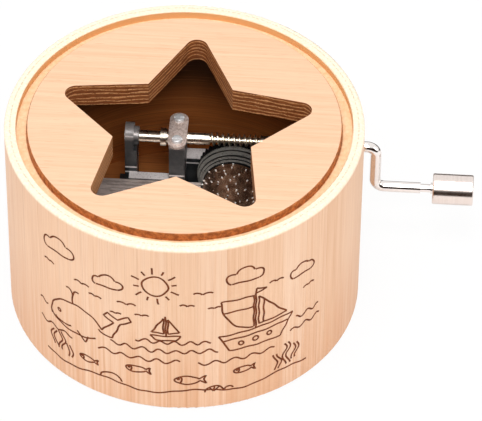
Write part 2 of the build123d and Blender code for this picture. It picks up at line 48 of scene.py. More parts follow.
def plug(tree, item, socket):
    """Links a Value to a socket, or sets the socket to a plain number, vector or colour."""
    if isinstance(item, Value):
        tree.links.new(item.socket, socket)
    else:
        socket.default_value = item


def maths(tree, operation, *items):
    """One Math node."""
    node = tree.nodes.new("ShaderNodeMath")
    node.operation = operation
    for item, socket in zip(items, node.inputs):
        plug(tree, item, socket)
    return Value(tree, node.outputs[0])


class Value:
    """What a node gives at each point of a surface. Arithmetic on a number adds Math nodes."""

    def __init__(self, tree, socket):
        self.tree = tree
        self.socket = socket

    def __add__(self, other):
        return maths(self.tree, "ADD", self, other)

    def __radd__(self, other):
        return maths(self.tree, "ADD", other, self)

    def __sub__(self, other):
        return maths(self.tree, "SUBTRACT", self, other)

    def __rsub__(self, other):
        return maths(self.tree, "SUBTRACT", other, self)

    def __mul__(self, other):
        return maths(self.tree, "MULTIPLY", self, other)

    def __rmul__(self, other):
        return maths(self.tree, "MULTIPLY", other, self)

    def __truediv__(self, other):
        return maths(self.tree, "DIVIDE", self, other)

    def __rtruediv__(self, other):
        return maths(self.tree, "DIVIDE", other, self)

    def __pow__(self, other):
        return maths(self.tree, "POWER", self, other)

    def __rpow__(self, other):
        return maths(self.tree, "POWER", other, self)


class Tree:
    """A node tree being built."""

    def __init__(self, tree):
        self.tree = tree
        tree.nodes.clear()

    def node(self, kind, settings=None, inputs=None):
        """Adds a node of a kind, makes its settings first, then sets or links its inputs."""
        node = self.tree.nodes.new(kind)
        for word, setting in (settings or {}).items():
            setattr(node, word, setting)
        for word, item in (inputs or {}).items():
            plug(self.tree, item, node.inputs[word])
        return node

    def value(self, kind, settings=None, inputs=None, out=0):
        """One output of a new node."""
        return Value(self.tree, self.node(kind, settings, inputs).outputs[out])

    def parts(self, vector):
        """The three numbers of a vector."""
        node = self.node("ShaderNodeSeparateXYZ", None, {0: vector})
        return [Value(self.tree, socket) for socket in node.outputs]

    def rays(self):
        """Two masks: 1 on rays from the camera, and 1 on rays that a shiny surface sends on."""
        node = self.node("ShaderNodeLightPath")
        return [Value(self.tree, node.outputs[word]) for word in ("Is Camera Ray", "Is Glossy Ray")]

    def ramp(self, value, low, high, start=0.0, end=1.0, rise="SMOOTHSTEP"):
        """Goes from start to end as value goes from low to high, and stays there."""
        return self.value("ShaderNodeMapRange", {"interpolation_type": rise},
                          {"Value": value, "From Min": low, "From Max": high,
                           "To Min": start, "To Max": end})

    def mix(self, factor, first, second):
        """Colour between first and second."""
        return self.value("ShaderNodeMix", {"data_type": "RGBA"},
                          {0: factor, 6: first, 7: second}, out=2)


class Finish(Tree):
    """A material being made: the place on the surface, and the shader that its values feed."""

    def __init__(self, name, **constants):
        self.material = bpy.data.materials.new(name)
        self.material.use_nodes = True
        super().__init__(self.material.node_tree)
        self.shader = self.node("ShaderNodeBsdfPrincipled")
        self.surface = Value(self.tree, self.shader.outputs[0])
        self.output = self.node("ShaderNodeOutputMaterial", None, {"Surface": self.surface})
        self.feed(**constants)
        metres = self.value("ShaderNodeTexCoord", out="Object")
        self.place = self.scaled(metres, (1.0 / MM, 1.0 / MM, 1.0 / MM))
        self.x, self.y, self.z = self.parts(self.place)

    def scaled(self, vector, factors):
        """A vector stretched along each axis."""
        return self.value("ShaderNodeVectorMath", {"operation": "MULTIPLY"},
                          {0: vector, 1: factors})

    def vector(self, x, y, z):
        """A vector from three numbers."""
        return self.value("ShaderNodeCombineXYZ", None, {0: x, 1: y, 2: z})

    def noise(self, vector, per_mm, detail=2.0, roughness=0.5, distortion=0.0):
        """Smooth noise from 0 to 1, with so many features to the millimetre along each axis."""
        return self.value("ShaderNodeTexNoise", None,
                          {"Vector": self.scaled(vector, per_mm), "Scale": 1.0, "Detail": detail,
                           "Roughness": roughness, "Distortion": distortion})

    def even_noise(self, per_mm, detail=2.0, roughness=0.5, distortion=0.0):
        """Noise that is alike along all three axes."""
        return self.noise(self.place, (per_mm, per_mm, per_mm), detail, roughness, distortion)

    def radius(self, x, y):
        """Distance from an axis."""
        return (x * x + y * y) ** 0.5

    def angle(self, y, x):
        """Angle round an axis."""
        return maths(self.tree, "ARCTAN2", y, x)

    def floor(self, value):
        """Whole part of a number."""
        return maths(self.tree, "FLOOR", value)

    def size(self, value):
        """A number without its sign."""
        return maths(self.tree, "ABSOLUTE", value)

    def fraction(self, value):
        """What a number has past its whole part."""
        return maths(self.tree, "FRACT", value)

    def larger(self, first, second):
        """The larger of two numbers."""
        return maths(self.tree, "MAXIMUM", first, second)

    def pick(self, number):
        """A random number from 0 to 1 for each whole number."""
        return self.value("ShaderNodeTexWhiteNoise", {"noise_dimensions": "1D"}, {"W": number})

    def bump(self, height_mm):
        """Sends a height in millimetres to the shader's normal."""
        self.feed(Normal=self.value("ShaderNodeBump", None,
                                    {"Strength": 1.0, "Distance": MM, "Height": height_mm}))

    def feed(self, **values):
        """Sends values to the shader's inputs of the same names."""
        for word, value in values.items():
            plug(self.tree, value, self.shader.inputs[word.replace("_", " ")])


def dress(finish, *names):
    """Gives CAD nodes a finish."""
    for name in names:
        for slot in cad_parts[name].material_slots:
            slot.material = finish.material


# ------------------------------------------------------------------ wood
CASE_RADIUS_MM = 40.0
CASE_HEIGHT_MM = 50.0
PLY_RADIUS_MM = 38.7          # where the outer ply meets the inner one
RIM_EDGE_MM = 49.2            # height at which the wall turns over into the rim
STRIP_WIDTH_MM = 6.6          # one bamboo strip of the outer ply
SEAM_SHARE = 0.035            # of a strip's width
LID_RAISED_MM = 34.98         # radius of the lid's raised face
LID_TOP_MM = 50.0
LID_FLANGE_MM = 48.0          # the lid's lowered edge, which is the floor of the groove
LID_BOTTOM_MM = 44.0
PLY_STEP_MM = 1.2             # one ply of the lid
BURNT_LINE_MM = 1.05          # from one pale line to the next on the burnt cut
PAINTED_LIGHT_INSIDE_MM = 17.0       # up to here the inside is painted orange brown, a painted light that falls in through the star ...
PAINTED_SHADE_INSIDE_MM = 32.5         # ... and from here up it is painted dark, a painted shade under the lid
FINE_PER_MM = (0.045, 5.5)    # fine streaks to the millimetre, along and across the fibres
COARSE_PER_MM = (0.018, 1.1)
HAIR_PER_MM = (0.03, 3.2)


def fibres(f, vector, axis):
    """Bamboo fibre along one axis of a vector, 0, 1 or 2: fine streaks, coarse streaks and the
    few dark hairlines, each 0 to 1."""
    def streaks(per_mm, detail, roughness=0.5):
        along, across = per_mm
        return f.noise(vector, tuple(along if i == axis else across for i in range(3)),
                       detail, roughness)
    return (streaks(FINE_PER_MM, 3.0, 0.6), streaks(COARSE_PER_MM, 2.0),
            f.ramp(streaks(HAIR_PER_MM, 1.0, 0.4), 0.62, 0.74))


def cut_rim(f, light, dark, glue_from, glue_to, glue_share, glue_colour):
    """Cut end of a ply: dotted end grain, and a broken line of glue beside the other ply. The
    glue fades in between two radii, given from where the plies meet."""
    dots = f.noise(f.place, (1.6, 1.6, 0.0), 2.0)
    rim = f.mix(f.ramp(dots, 0.3, 0.7), light, dark)
    ring = f.radius(f.x, f.y)
    glue = f.ramp(ring, PLY_RADIUS_MM + glue_from, PLY_RADIUS_MM + glue_to)
    return f.mix(glue * f.ramp(dots, 0.35, 0.6) * glue_share, rim, glue_colour)


def case_outer():
    """Outer ply: upright bamboo strips of slightly different tints, deeper towards the foot,
    and a pale cut rim on top."""
    f = Finish("case_outer_bamboo", Specular_IOR_Level=0.35)
    turn = f.angle(f.x, 0.0 - f.y) * CASE_RADIUS_MM
    lean = f.noise(f.place, (0.0, 0.0, 0.01)) * 0.3
    strips = turn / STRIP_WIDTH_MM + lean
    tint = f.pick(f.floor(strips))
    seam = f.ramp(f.fraction(strips), 0.0, SEAM_SHARE, 1.0, 0.0)
    fine, coarse, hair = fibres(f, f.place, 2)
    foot = f.ramp(f.z, 34.0, 2.0)
    pale = f.mix(tint, srgb(239, 202, 172), srgb(227, 181, 144))
    deep = f.mix(foot, srgb(237, 196, 162), srgb(223, 171, 133))
    wood = f.mix(f.ramp(coarse, 0.3, 0.7), pale, deep)
    wood = f.mix(f.ramp(fine, 0.42, 0.72) * 0.45, wood, srgb(218, 164, 126))
    wood = f.mix(hair * (0.25 + foot * 0.15), wood, srgb(198, 138, 98))
    wood = f.mix(seam * 0.3, wood, srgb(200, 146, 106))
    rim_wood = cut_rim(f, srgb(253, 238, 216), srgb(247, 226, 198), 0.22, 0.05,
                       0.45, srgb(196, 176, 148))
    rim = f.ramp(f.z, RIM_EDGE_MM - 0.35, RIM_EDGE_MM + 0.5)
    f.feed(Base_Color=f.mix(rim, wood, rim_wood), Roughness=f.ramp(fine, 0.2, 0.8, 0.42, 0.58))
    f.bump(fine * 0.016 + coarse * 0.03 - seam * 0.02 - hair * 0.012)
    return f


def case_inner():
    """Inner ply: grain round the case, brown inside, painted dark high up as painted shade under
    the lid and orange brown lower down as painted light through the star, orange in the groove,
    cream on the rim.
    """
    f = Finish("case_inner_bamboo", Specular_IOR_Level=0.3)
    turn = f.angle(f.y, f.x) * CASE_RADIUS_MM
    fine, coarse, hair = fibres(f, f.vector(turn, f.radius(f.x, f.y), f.z), 0)
    # painted light and shade: high up under the lid the inside is painted dark as painted shade,
    # low down orange brown as painted light through the star; streaks and hairlines follow the same
    # mask
    low = f.ramp(f.z, PAINTED_SHADE_INSIDE_MM, PAINTED_LIGHT_INSIDE_MM)
    painted_lit = f.mix(coarse, srgb(204, 122, 60), srgb(172, 96, 42))
    wood = f.mix(low, srgb(68, 35, 8), painted_lit)
    streak = f.mix(low, srgb(82, 44, 14), srgb(108, 58, 24))
    wood = f.mix(f.ramp(fine, 0.4, 0.7) * 0.5, wood, streak)
    wood = f.mix(hair * (0.15 + low * 0.35), wood, srgb(186, 124, 72))
    groove = f.mix(coarse, srgb(246, 195, 134), srgb(231, 168, 108))
    wood = f.mix(f.ramp(f.z, LID_BOTTOM_MM, LID_FLANGE_MM), wood, groove)
    rim_wood = cut_rim(f, srgb(253, 238, 214), srgb(247, 226, 196), -0.2, -0.04,
                       0.6, srgb(188, 168, 140))
    rim = f.ramp(f.z, CASE_HEIGHT_MM - 0.45, CASE_HEIGHT_MM - 0.05)
    f.feed(Base_Color=f.mix(rim, wood, rim_wood), Roughness=f.ramp(fine, 0.2, 0.8, 0.5, 0.65))
    f.bump(fine * 0.02 + coarse * 0.03 - hair * 0.015)
    return f


def lid_face(f, fine, coarse, hair):
    """Raised face of the lid: pale, with straight grain and short dark dashes."""
    face = f.mix(f.ramp(coarse, 0.3, 0.7), srgb(240, 198, 164), srgb(233, 187, 152))
    face = f.mix(f.ramp(fine, 0.42, 0.72) * 0.42, face, srgb(222, 170, 132))
    dashes = f.noise(f.place, (0.22, 7.0, 1.0), 1.0, 0.4)
    face = f.mix(f.ramp(dashes, 0.66, 0.74) * 0.6, face, srgb(196, 142, 106))
    return f.mix(hair * 0.3, face, srgb(208, 152, 110))


def lid_groove(f, ring):
    """Lowered edge of the lid: cream, scorched brown where it meets the raised face."""
    scorch = f.even_noise(0.9, 4.0, 0.7)
    cream = f.mix(f.ramp(scorch, 0.3, 0.7), srgb(255, 222, 182), srgb(244, 200, 152))
    brown = f.mix(f.ramp(scorch, 0.35, 0.65), srgb(200, 124, 66), srgb(146, 82, 38))
    return f.mix(f.ramp(ring, LID_RAISED_MM + 0.35, LID_RAISED_MM + 0.02), cream, brown)


def burnt_cut(f, streak):
    """Cut wall of the star: burnt brown, a tint for each ply, pale lines that sway and break,
    and painted paler on the left of the front, a painted light where more light falls on that side."""
    ply = f.pick(f.floor((f.z - LID_BOTTOM_MM) / PLY_STEP_MM))
    sway = f.noise(f.place, (0.16, 0.16, 0.4), 3.0, 0.6)
    across = f.fraction((f.z + sway * 1.6) / BURNT_LINE_MM)
    line = f.ramp(across, 0.55, 0.75) * f.ramp(across, 1.0, 0.85)
    fleck = f.noise(f.place, (2.4, 2.4, 5.0), 3.0, 0.6)
    burnt = f.mix(f.ramp(streak, 0.35, 0.68), srgb(126, 68, 32), srgb(166, 98, 52))
    burnt = f.mix(ply * 0.35, burnt, srgb(106, 54, 24))
    burnt = f.mix(line * f.ramp(fleck, 0.3, 0.55) * 0.8, burnt, srgb(250, 184, 124))
    burnt = f.mix(f.ramp(fleck, 0.62, 0.72) * 0.35, burnt, srgb(214, 140, 84))
    # painted light: the cut walls on the left of the front are painted paler where more light falls
    # on them
    painted_light_side = f.ramp(f.x, -13.0, -19.0) * f.ramp(f.y, 0.0, -8.0)
    return f.mix(painted_light_side * 0.5, burnt, srgb(238, 174, 116))


def lid_ply():
    """Lid: its raised face, the groove round it and the burnt cut of the star, told apart by
    height and by radius."""
    f = Finish("lid_bamboo_ply", Specular_IOR_Level=0.35)
    fine, coarse, hair = fibres(f, f.place, 0)
    streak = f.noise(f.place, (0.5, 0.5, 3.4), 3.0, 0.65, 0.4)
    ring = f.radius(f.x, f.y)
    below = f.ramp(f.z, LID_TOP_MM - 0.1, LID_TOP_MM - 0.02, 1.0, 0.0)
    outside = f.ramp(ring, LID_RAISED_MM - 0.45, LID_RAISED_MM - 0.25)
    lowered = f.mix(outside, burnt_cut(f, streak), lid_groove(f, ring))
    f.feed(Base_Color=f.mix(below, lid_face(f, fine, coarse, hair), lowered),
           Roughness=f.ramp(fine, 0.2, 0.8, 0.44, 0.6))
    f.bump(fine * 0.014 + coarse * 0.02 - hair * 0.01 + streak * below * 0.12)
    return f


def base_ply():
    """Base board: plain plywood, its grain along the shaft."""
    f = Finish("base_plywood", Specular_IOR_Level=0.3)
    fine, coarse, hair = fibres(f, f.place, 0)
    wood = f.mix(coarse, srgb(206, 132, 70), srgb(178, 106, 52))
    wood = f.mix(f.ramp(fine, 0.42, 0.72) * 0.5, wood, srgb(140, 80, 38))
    wood = f.mix(hair * 0.5, wood, srgb(110, 62, 30))
    f.feed(Base_Color=wood, Roughness=f.ramp(fine, 0.2, 0.8, 0.52, 0.68))
    f.bump(fine * 0.02 + coarse * 0.03 - hair * 0.02)
    return f


# ------------------------------------------------------------------ metal and plastic
PAINTED_LIGHT_TOPS_MM = (15.8, 17.3, 26.7)       # heights of the bedplate's level faces, painted bright as painted light from above
PAINTED_LIGHT_HEAD_MM = (25.2, 26.6)                    # the end upright's head is painted paler between these, as painted light
RING_EDGES_MM = (17.0, 17.6, 18.4, 18.9, 19.6, 19.95, 20.3, 20.6)     # the wheel's steps, in y, where its painted highlights run


def cast_zinc():
    """Bedplate: dark grey die casting, faintly pitted; its level faces and the end upright's head
    painted pale, a painted light from above.
    """
    f = Finish("cast_zinc")
    grain = f.even_noise(3.5, 4.0, 0.65)
    patch = f.even_noise(0.35, 3.0)
    # painted light: the level faces and the top of the head are painted pale and less metallic
    # where light from above falls; the rest stays dark grey
    painted_lit_tops = f.ramp(f.z, *PAINTED_LIGHT_HEAD_MM, 0.0, 0.42)
    for top in PAINTED_LIGHT_TOPS_MM:
        painted_lit_tops = f.larger(painted_lit_tops, f.ramp(f.size(f.z - top), 0.3, 0.12))
    dark = f.mix(f.ramp(patch, 0.35, 0.7), srgb(64, 67, 69), srgb(90, 92, 93))
    pale = f.mix(f.ramp(grain, 0.5, 0.68) * 0.55, srgb(255, 248, 246), srgb(176, 164, 160))
    f.feed(Base_Color=f.mix(painted_lit_tops, dark, pale), Roughness=f.ramp(patch, 0.3, 0.7, 0.34, 0.46),
           Metallic=f.ramp(painted_lit_tops, 0.0, 1.0, 0.5, 0.1))
    f.bump(grain * 0.04 + patch * 0.05)
    return f


def worked_steel(name, light, dark, marks_per_mm, roughness, metal=1.0):
    """Steel with fine tool marks, so many to the millimetre along each axis. Its roughness lies
    between two values."""
    f = Finish(name, Metallic=metal)
    marks = f.noise(f.place, marks_per_mm, 3.0, 0.6)
    cloud = f.even_noise(0.6)
    f.feed(Base_Color=f.mix(f.ramp(marks, 0.35, 0.7), light, dark),
           Roughness=f.ramp(cloud, 0.3, 0.7, *roughness))
    f.bump(marks * 0.01 + cloud * 0.02)
    return f


def wheel_plastic():
    """Worm wheel and end cap: black moulded plastic, greasy, with a painted highlight on the rings'
    edges.
    """
    f = Finish("wheel_plastic", Specular_IOR_Level=0.35)
    grain = f.even_noise(2.2, 4.0, 0.6)
    film = f.even_noise(0.4)
    black = f.mix(f.ramp(grain, 0.4, 0.7), srgb(14, 14, 15), srgb(26, 25, 25))
    # painted highlight: thin pale lines on the rings' edges stand in for light caught on their
    # rounded edges
    painted_edge_highlight = 0.0
    for edge in RING_EDGES_MM:
        painted_edge_highlight = f.ramp(f.size(f.y - edge), 0.12, 0.03) + painted_edge_highlight
    f.feed(Base_Color=f.mix(painted_edge_highlight * f.ramp(grain, 0.2, 0.5) * 0.6, black, srgb(190, 186, 178)),
           Roughness=f.ramp(film, 0.3, 0.7, 0.24, 0.4))
    f.bump(grain * 0.02)
    return f


def drum_bronze():
    """Drum tube: browned metal with rub marks in small loops all over; the brightest loops are
    painted glints.
    """
    f = Finish("drum_bronze", Metallic=0.9)
    loops = f.even_noise(2.0, 4.0, 0.7, 1.6)
    stain = f.even_noise(0.5, 3.0)
    brown = f.mix(f.ramp(stain, 0.35, 0.68), srgb(132, 96, 74), srgb(168, 128, 102))
    # painted glints: bright specks on the loops stand in for light caught by the metal
    brown = f.mix(f.ramp(loops, 0.57, 0.63) * 0.7, brown, srgb(250, 220, 190))
    brown = f.mix(f.ramp(loops, 0.46, 0.38) * 0.6, brown, srgb(70, 46, 32))
    f.feed(Base_Color=brown, Roughness=f.ramp(stain, 0.3, 0.7, 0.34, 0.5))
    f.bump(loops * 0.03)
    return f


def pin_steel():
    """Pins: ends painted near white and hardly metallic as painted glints; a patch of them painted
    brown and metallic as pins that catch no glint.
    """
    f = Finish("pin_steel")
    # painted glints: most pins are painted white as glints; a patch is painted brown so that those
    # pins show no glint
    painted_glint_off = f.ramp(f.even_noise(0.62, 2.0, 0.6), 0.5, 0.6)
    marks = f.even_noise(3.0, 3.0, 0.6)
    bright = f.mix(f.ramp(marks, 0.35, 0.7), srgb(255, 253, 248), srgb(255, 244, 232))
    f.feed(Base_Color=f.mix(painted_glint_off, bright, srgb(104, 78, 60)),
           Roughness=f.ramp(painted_glint_off, 0.0, 1.0, 0.2, 0.5),
           Metallic=f.ramp(painted_glint_off, 0.0, 1.0, 0.12, 0.8))
    return f


def chrome():
    """Crank rod: polished plating with hardly visible ripples."""
    f = Finish("crank_chrome", Metallic=1.0)
    ripple = f.even_noise(0.5)
    scuff = f.even_noise(5.0, 3.0, 0.6)
    f.feed(Base_Color=f.mix(f.ramp(scuff, 0.4, 0.7), srgb(244, 238, 234), srgb(232, 224, 220)),
           Roughness=f.ramp(scuff, 0.35, 0.75, 0.06, 0.12))
    f.bump(ripple * 0.01)
    return f


def knob_metal():
    """Knob: satin plating over turning marks that run round it."""
    f = Finish("knob_metal", Metallic=1.0)
    turning = f.noise(f.place, (9.0, 0.05, 0.05), 3.0, 0.7)
    cloud = f.even_noise(0.5)
    f.feed(Base_Color=f.mix(f.ramp(turning, 0.35, 0.7), srgb(240, 228, 222), srgb(226, 212, 204)),
           Roughness=f.ramp(turning, 0.3, 0.7, 0.15, 0.21) + cloud * 0.03)
    return f


def burnt_line():
    """Lines of the picture: the wood charred dark brown, a little paler here and there."""
    f = Finish("burnt_line", Specular_IOR_Level=0.2)
    char = f.even_noise(1.4, 3.0, 0.6)
    f.feed(Base_Color=f.mix(f.ramp(char, 0.35, 0.7), srgb(96, 44, 20), srgb(132, 70, 38)),
           Roughness=f.ramp(char, 0.3, 0.7, 0.7, 0.85))
    f.bump(char * 0.02)
    return f


dress(case_outer(), "outer_wall")
dress(case_inner(), "inner_wall")
dress(lid_ply(), "lid")
dress(base_ply(), "base_board")
dress(cast_zinc(), "bedplate")
dress(worked_steel("strap_steel", srgb(255, 236, 226), srgb(206, 180, 166),
                   marks_per_mm=(2.4, 1.8, 2.4), roughness=(0.4, 0.5), metal=0.35),
      "retaining_plate", "front_bearing", "knob_rivet")
dress(worked_steel("screw_steel", srgb(255, 255, 255), srgb(238, 238, 238),
                   marks_per_mm=(2.0, 2.0, 2.0), roughness=(0.2, 0.3), metal=0.25),
      "retaining_plate_screws", "front_bearing_screws", "comb_screws", "mounting_screws")
dress(worked_steel("comb_steel", srgb(244, 228, 220), srgb(206, 190, 182),
                   marks_per_mm=(0.3, 0.9, 0.9), roughness=(0.3, 0.42), metal=0.45),
      "comb")
dress(worked_steel("weight_metal", srgb(120, 120, 124), srgb(92, 92, 96),
                   marks_per_mm=(2.0, 2.0, 2.0), roughness=(0.45, 0.6)),
      "comb_weights")
dress(worked_steel("shaft_steel", srgb(250, 242, 226), srgb(236, 226, 206),
                   marks_per_mm=(0.3, 0.6, 0.6), roughness=(0.26, 0.34)),
      "crankshaft", "shaft_collar", "drum_arbor")
dress(pin_steel(), "drum_pins")
dress(wheel_plastic(), "drum_gear", "drum_end_cap")
dress(drum_bronze(), "drum_tube")
dress(chrome(), "crank_rod")
dress(knob_metal(), "crank_knob")


# ------------------------------------------------------------------ picture on the wall
# Each line is an array of points in millimetres: u is the length round the wall from the middle
# of the front, and v is the height.
LINE_WIDTH_MM = 0.44
LINE_PROUD_MM = 0.02
LINE_STEP_MM = 0.3
HAND_WOBBLE_MM = 0.1
ARC_POINTS = 40
BLADE_POINTS = 30


def arc(u, v, across, up, start=0.0, end=360.0):
    """Part of an ellipse: u plus across times the cosine, and v plus up times the sine, of
    angles from start to end in degrees."""
    turn = np.radians(np.linspace(start, end, ARC_POINTS))
    return np.stack([u + across * np.cos(turn), v + up * np.sin(turn)], axis=1)


def path(*corners):
    """Straight lines from corner to corner, cut into short steps of equal length."""
    corners = np.array(corners, dtype=float)
    sides = np.hypot(*np.diff(corners, axis=0).T)
    run = np.concatenate([[0.0], np.cumsum(sides)])
    steps = np.linspace(0.0, run[-1], int(run[-1] / LINE_STEP_MM) + 3)
    return np.stack([np.interp(steps, run, corners[:, 0]),
                     np.interp(steps, run, corners[:, 1])], axis=1)


def swell(start, end, v, height, length):
    """A row of waves: v plus height times the sine of u over the length of one wave."""
    u = np.arange(start, end, LINE_STEP_MM)
    return np.stack([u, v + height * np.sin(2 * np.pi * u / length)], axis=1)


def sun(u, v):
    """A ring and twelve rays, short and long by turns."""
    rays = []
    for i in range(12):
        turn = np.radians(30.0 * i + 8.0)
        reach = 5.6 if i % 2 else 4.9
        rays.append(path((u + 3.7 * np.cos(turn), v + 3.7 * np.sin(turn)),
                         (u + reach * np.cos(turn), v + reach * np.sin(turn))))
    return [arc(u, v, 2.9, 2.9)] + rays


def cloud(u, v, size):
    """Three rising arcs and a flat foot."""
    return [arc(u - 1.5 * size, v + 0.1 * size, 0.8 * size, 0.8 * size, 70.0, 250.0),
            arc(u, v + 0.6 * size, 1.2 * size, 1.1 * size, 20.0, 165.0),
            arc(u + 1.5 * size, v + 0.2 * size, 0.8 * size, 0.8 * size, -80.0, 110.0),
            path((u - 1.7 * size, v - 0.65 * size), (u + 1.6 * size, v - 0.6 * size))]


def gull(u, v, size):
    """Two wings."""
    return [arc(u - size, v, size, 0.75 * size, 20.0, 150.0),
            arc(u + size, v, size, 0.75 * size, 30.0, 160.0)]


def sailing_boat():
    """Hull with its plank line, mast with a pennant, a bellied sail, a jib and three ports."""
    return [path((10.5, 22.4), (13.0, 17.6), (25.2, 17.6), (28.4, 23.4), (10.5, 22.4)),
            path((11.4, 20.9), (27.2, 21.7)),
            path((19.0, 22.8), (19.0, 35.2)),
            path((19.0, 35.2), (21.6, 34.5), (19.0, 33.8)),
            arc(18.4, 33.2, 7.4, 9.6, 180.0, 270.0),
            path((11.0, 33.2), (18.4, 33.2)),
            path((18.5, 23.6), (18.5, 33.4)),
            path((11.6, 29.6), (18.5, 29.8)),
            path((19.7, 32.6), (26.8, 24.4), (19.7, 23.9), (19.7, 32.6)),
            path((20.9, 31.0), (20.9, 24.1)),
            arc(15.6, 19.4, 0.6, 0.6),
            arc(19.0, 19.6, 0.6, 0.6),
            arc(22.4, 19.8, 0.6, 0.6)]


def far_boat():
    """Small hull, mast and two sails."""
    return [path((-4.6, 23.2), (-3.6, 21.9), (1.0, 21.9), (2.2, 23.4), (-4.6, 23.2)),
            path((-1.2, 23.3), (-1.2, 29.4)),
            path((-1.7, 28.8), (-4.4, 24.2), (-1.7, 24.0), (-1.7, 28.8)),
            path((-0.7, 28.4), (1.9, 24.4), (-0.7, 24.1), (-0.7, 28.4))]


def whale():
    """Back, belly, tail and flukes, then eye, mouth, fin and spout."""
    return [arc(-23.0, 19.5, 7.2, 5.6, 15.0, 196.0),
            arc(-23.2, 19.5, 7.0, 3.4, 188.0, 322.0),
            arc(-14.5, 21.2, 2.4, 1.6, 190.0, 300.0),
            path((-13.4, 19.9), (-11.4, 24.6)),
            path((-16.1, 21.0), (-14.2, 23.2), (-12.9, 24.4)),
            path((-12.9, 24.4), (-15.4, 26.0), (-14.6, 27.2), (-12.2, 25.6), (-9.6, 27.4),
                 (-8.8, 26.2), (-11.4, 24.6)),
            arc(-27.6, 20.6, 0.42, 0.42),
            arc(-26.4, 18.4, 2.4, 1.2, 190.0, 330.0),
            path((-22.6, 17.2), (-20.4, 14.9), (-19.4, 17.0)),
            arc(-25.0, 27.2, 1.4, 2.2, 0.0, 110.0),
            arc(-22.2, 27.2, 1.4, 2.2, 70.0, 180.0),
            path((-23.6, 25.3), (-23.6, 27.4))]


def fish(u, v, size):
    """Body, tail, gill and eye."""
    return [arc(u, v, 2.2 * size, size, 12.0, 348.0),
            path((u + 2.1 * size, v + 0.2 * size), (u + 3.4 * size, v + size),
                 (u + 3.0 * size, v), (u + 3.4 * size, v - size),
                 (u + 2.1 * size, v - 0.2 * size)),
            arc(u - 1.5 * size, v, 0.6 * size, 0.8 * size, -60.0, 60.0),
            arc(u - 1.5 * size, v + 0.25 * size, 0.14 * size, 0.14 * size)]


def weed(u, v, height):
    """A blade of sea grass: two lines 1 mm apart that sway by a sine of their height."""
    rise = np.linspace(0.0, height, BLADE_POINTS)
    return [np.stack([u + side * 0.5 + 0.6 * np.sin(rise * 1.1 + u), v + rise], axis=1)
            for side in (-1, 1)]


def sea_floor():
    """A long low swell of sand, a stone, and a shell with three ribs beside another stone."""
    return [swell(-32.0, 33.0, 5.6, 0.7, 21.0),
            arc(-14.0, 6.2, 2.6, 2.0, 5.0, 175.0),
            arc(9.5, 5.3, 2.0, 1.7, 0.0, 180.0),
            path((9.5, 5.3), (8.4, 6.7)),
            path((9.5, 5.3), (9.5, 7.0)),
            path((9.5, 5.3), (10.6, 6.7)),
            arc(12.8, 5.6, 1.0, 0.8, 0.0, 180.0)]


# place (u, v), then size; for a swell its start, end, v, height and length
CLOUDS = ((-27.5, 39.5, 2.0), (-14.5, 36.0, 1.6), (16.5, 39.5, 1.9), (31.0, 34.5, 1.5))
GULLS = ((-21.0, 32.5, 1.0), (-17.5, 30.5, 0.8), (-10.0, 31.0, 1.1), (-6.5, 28.5, 0.8),
         (3.5, 32.5, 0.9), (7.0, 36.0, 1.1), (9.5, 31.5, 0.7), (-12.5, 27.5, 0.7),
         (33.0, 28.5, 0.9), (-30.5, 33.5, 0.8), (24.0, 35.0, 0.9))
SWELLS = ((-34.0, -31.0, 20.0, 0.5, 3.1), (-8.0, 9.0, 21.2, 0.5, 3.3),
          (29.5, 36.5, 20.6, 0.5, 3.2), (-14.0, 10.5, 18.4, 0.55, 3.7),
          (28.0, 37.0, 17.4, 0.5, 3.5), (-34.0, -24.0, 14.2, 0.5, 3.9),
          (-17.0, 2.0, 15.2, 0.55, 4.1), (6.0, 24.0, 14.6, 0.5, 4.3))
FISHES = ((-8.0, 11.6, 1.0), (3.5, 9.4, 1.25), (16.0, 10.8, 0.9), (-20.0, 9.8, 0.85))
WEEDS = ((-29.5, 8.6, 4.4), (-27.2, 8.0, 5.8), (-24.9, 7.4, 3.6), (24.6, 7.0, 5.0),
         (27.0, 7.4, 6.8), (29.4, 8.2, 4.6))


def drawn_lines():
    """Every line of the picture."""
    lines = sun(-3.5, 38.5)
    for one, many in ((cloud, CLOUDS), (gull, GULLS)):
        for numbers in many:
            lines += one(*numbers)
    lines += sailing_boat() + far_boat() + whale()
    lines += [swell(*numbers) for numbers in SWELLS]
    for one, many in ((fish, FISHES), (weed, WEEDS)):
        for numbers in many:
            lines += one(*numbers)
    return lines + sea_floor()


def line_ribbon(points):
    """One line as a flat ribbon wrapped on the wall. Each point moves a little by sines of its
    own place, as a hand's line does, and gets a vertex on either side, half the line's width
    off. With R the wall's radius, x is R sin(u/R), y is -R cos(u/R) and z is v."""
    u, v = points.T
    sway = np.stack([np.sin(0.9 * u + 1.7 * v), np.sin(1.3 * u - 0.8 * v)], axis=1)
    points = points + HAND_WOBBLE_MM * sway
    along = np.gradient(points, axis=0)
    along /= np.linalg.norm(along, axis=1)[:, None]
    aside = np.stack([-along[:, 1], along[:, 0]], axis=1) * LINE_WIDTH_MM / 2
    sides = np.stack([points + aside, points - aside], axis=1).reshape(-1, 2)
    turn = sides[:, 0] / CASE_RADIUS_MM
    radius = CASE_RADIUS_MM + LINE_PROUD_MM
    vertices = np.stack([radius * np.sin(turn), -radius * np.cos(turn), sides[:, 1]], axis=1)
    first = 2 * np.arange(len(points) - 1)
    return vertices * MM, np.stack([first, first + 1, first + 3, first + 2], axis=1)


def make_wall_picture():
    """The picture as one mesh of ribbons."""
    vertices, faces, count = [], [], 0
    for points in drawn_lines():
        ribbon, quads = line_ribbon(points)
        vertices.append(ribbon)
        faces.append(quads + count)
        count += len(ribbon)
    mesh = bpy.data.meshes.new("wall_picture")
    mesh.from_pydata(np.concatenate(vertices).tolist(), [], np.concatenate(faces).tolist())
    picture = bpy.data.objects.new("wall_picture", mesh)
    bpy.context.scene.collection.objects.link(picture)
    mesh.materials.append(burnt_line().material)
    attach(picture, "case")


make_wall_picture()


